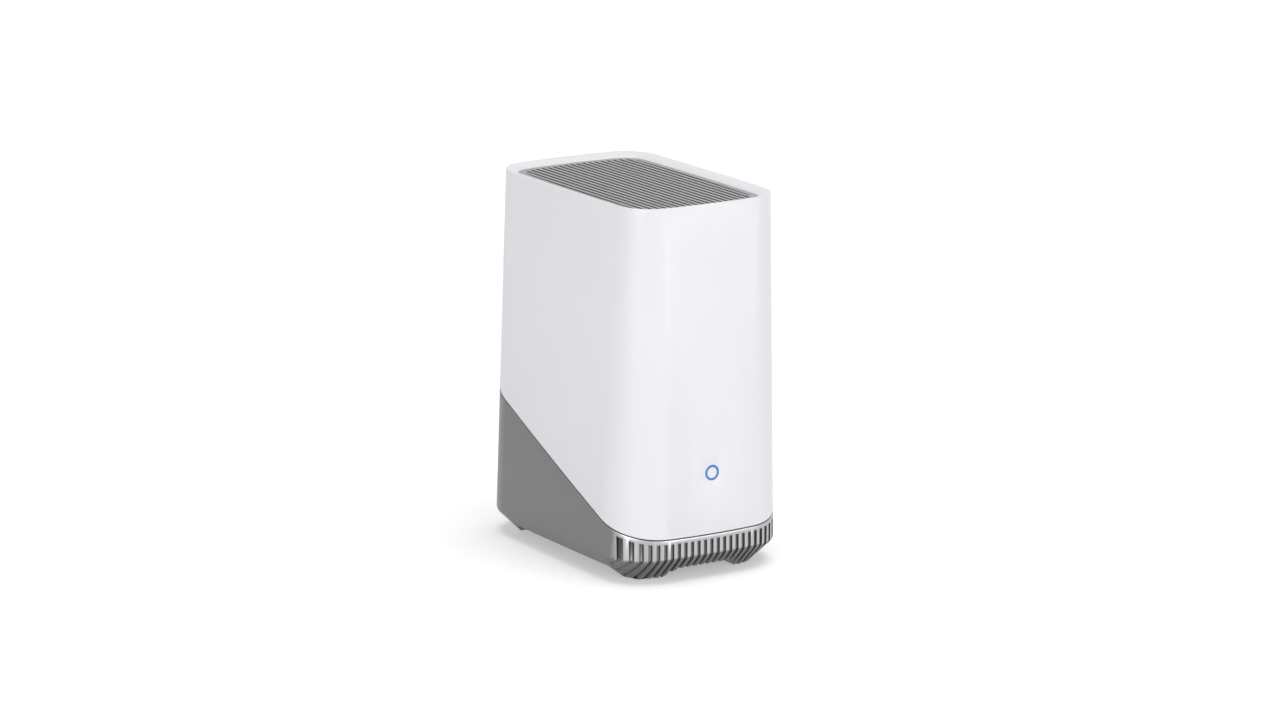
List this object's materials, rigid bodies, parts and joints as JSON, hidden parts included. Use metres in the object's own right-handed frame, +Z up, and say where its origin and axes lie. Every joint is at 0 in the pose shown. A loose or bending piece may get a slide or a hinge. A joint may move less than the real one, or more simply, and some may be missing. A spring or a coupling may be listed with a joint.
{
  "type": "security camera base station",
  "caption": "Upright camera base station: tapered white shell, slatted top grille, ring light, grey fluted base with slanted seam, rear ports and a drive bay.",
  "frame": {"origin": "centre of the footprint on the surface that it stands on", "axes": "+Z up, the front with the status ring faces -Y, +X is to the right of a viewer who looks at the front"},
  "size_m": [0.1042, 0.156, 0.2],
  "materials": {
    "white_shell": "satin",
    "grille_grey": "satin",
    "black_mesh": "matte",
    "base_grey": "satin",
    "rubber_dark": "matte",
    "steel": "satin",
    "status_light": "glossy",
    "lamp": "glossy",
    "panel_dark": "matte",
    "button_grey": "satin",
    "black_plastic": "matte",
    "contact_brass": "satin",
    "circuit_board": "satin",
    "sink_aluminium": "satin",
    "chassis_plastic": "matte",
    "fan_plastic": "satin",
    "magnet": "matte",
    "cone_paper": "matte"
  },
  "bodies": {
    "housing": {"outer_shell": "white_shell", "top_grille": "grille_grey", "grille_mesh": "black_mesh", "base_housing": "base_grey", "foot_pad_front_left": "rubber_dark", "foot_pad_front_right": "rubber_dark", "foot_pad_rear_left": "rubber_dark", "foot_pad_rear_right": "rubber_dark", "shell_screws": "steel", "status_ring": "status_light", "ring_cap": "white_shell", "led_board": "circuit_board", "status_leds": "lamp", "led_board_screws": "steel", "port_panel": "panel_dark", "port_panel_screws": "steel", "ethernet_jack": "black_plastic", "usb_port": "steel", "power_inlet": "black_plastic", "power_inlet_pin": "contact_brass", "tact_switch": "black_plastic", "main_board": "circuit_board", "main_board_screws": "steel", "processor": "black_plastic", "memory_chips": "black_plastic", "heat_sink": "sink_aluminium", "wifi_shield": "steel", "radio_shield": "steel", "chassis": "chassis_plastic", "chassis_screws": "steel", "drive_cage": "chassis_plastic", "drive_cage_screws": "steel", "bay_board": "circuit_board", "bay_connector": "black_plastic", "fan_frame": "black_plastic", "fan_bearing": "contact_brass", "fan_screws": "steel", "speaker_cup": "black_plastic", "speaker_basket": "steel", "speaker_magnet": "magnet", "speaker_cone": "cone_paper", "speaker_gasket": "rubber_dark", "wifi_antenna_left": "circuit_board", "wifi_antenna_right": "circuit_board", "radio_antenna": "circuit_board"},
    "button": {"sync_button": "button_grey", "switch_plunger": "black_plastic"},
    "drive_drawer": {"drive_sled": "black_plastic", "hard_drive": "sink_aluminium", "drive_screws": "steel", "bay_door": "base_grey", "bay_door_screw": "steel"},
    "fan": {"fan_rotor": "fan_plastic"}
  },
  "joints": [
    {"name": "sync_button_press", "type": "slide", "parent": "housing", "child": "button", "axis": [0, -1, 0], "range_m": [0, 0.0008], "stiffness_N_per_m": 2500},
    {"name": "drive_drawer_slide", "type": "slide", "parent": "housing", "child": "drive_drawer", "axis": [0, 0, -1], "range_m": [0, 0.098]},
    {"name": "fan_spin", "type": "hinge", "parent": "housing", "child": "fan", "pos_m": [0, 0.026, 0.17], "axis": [0, 0, 1], "continuous": true}
  ]
}
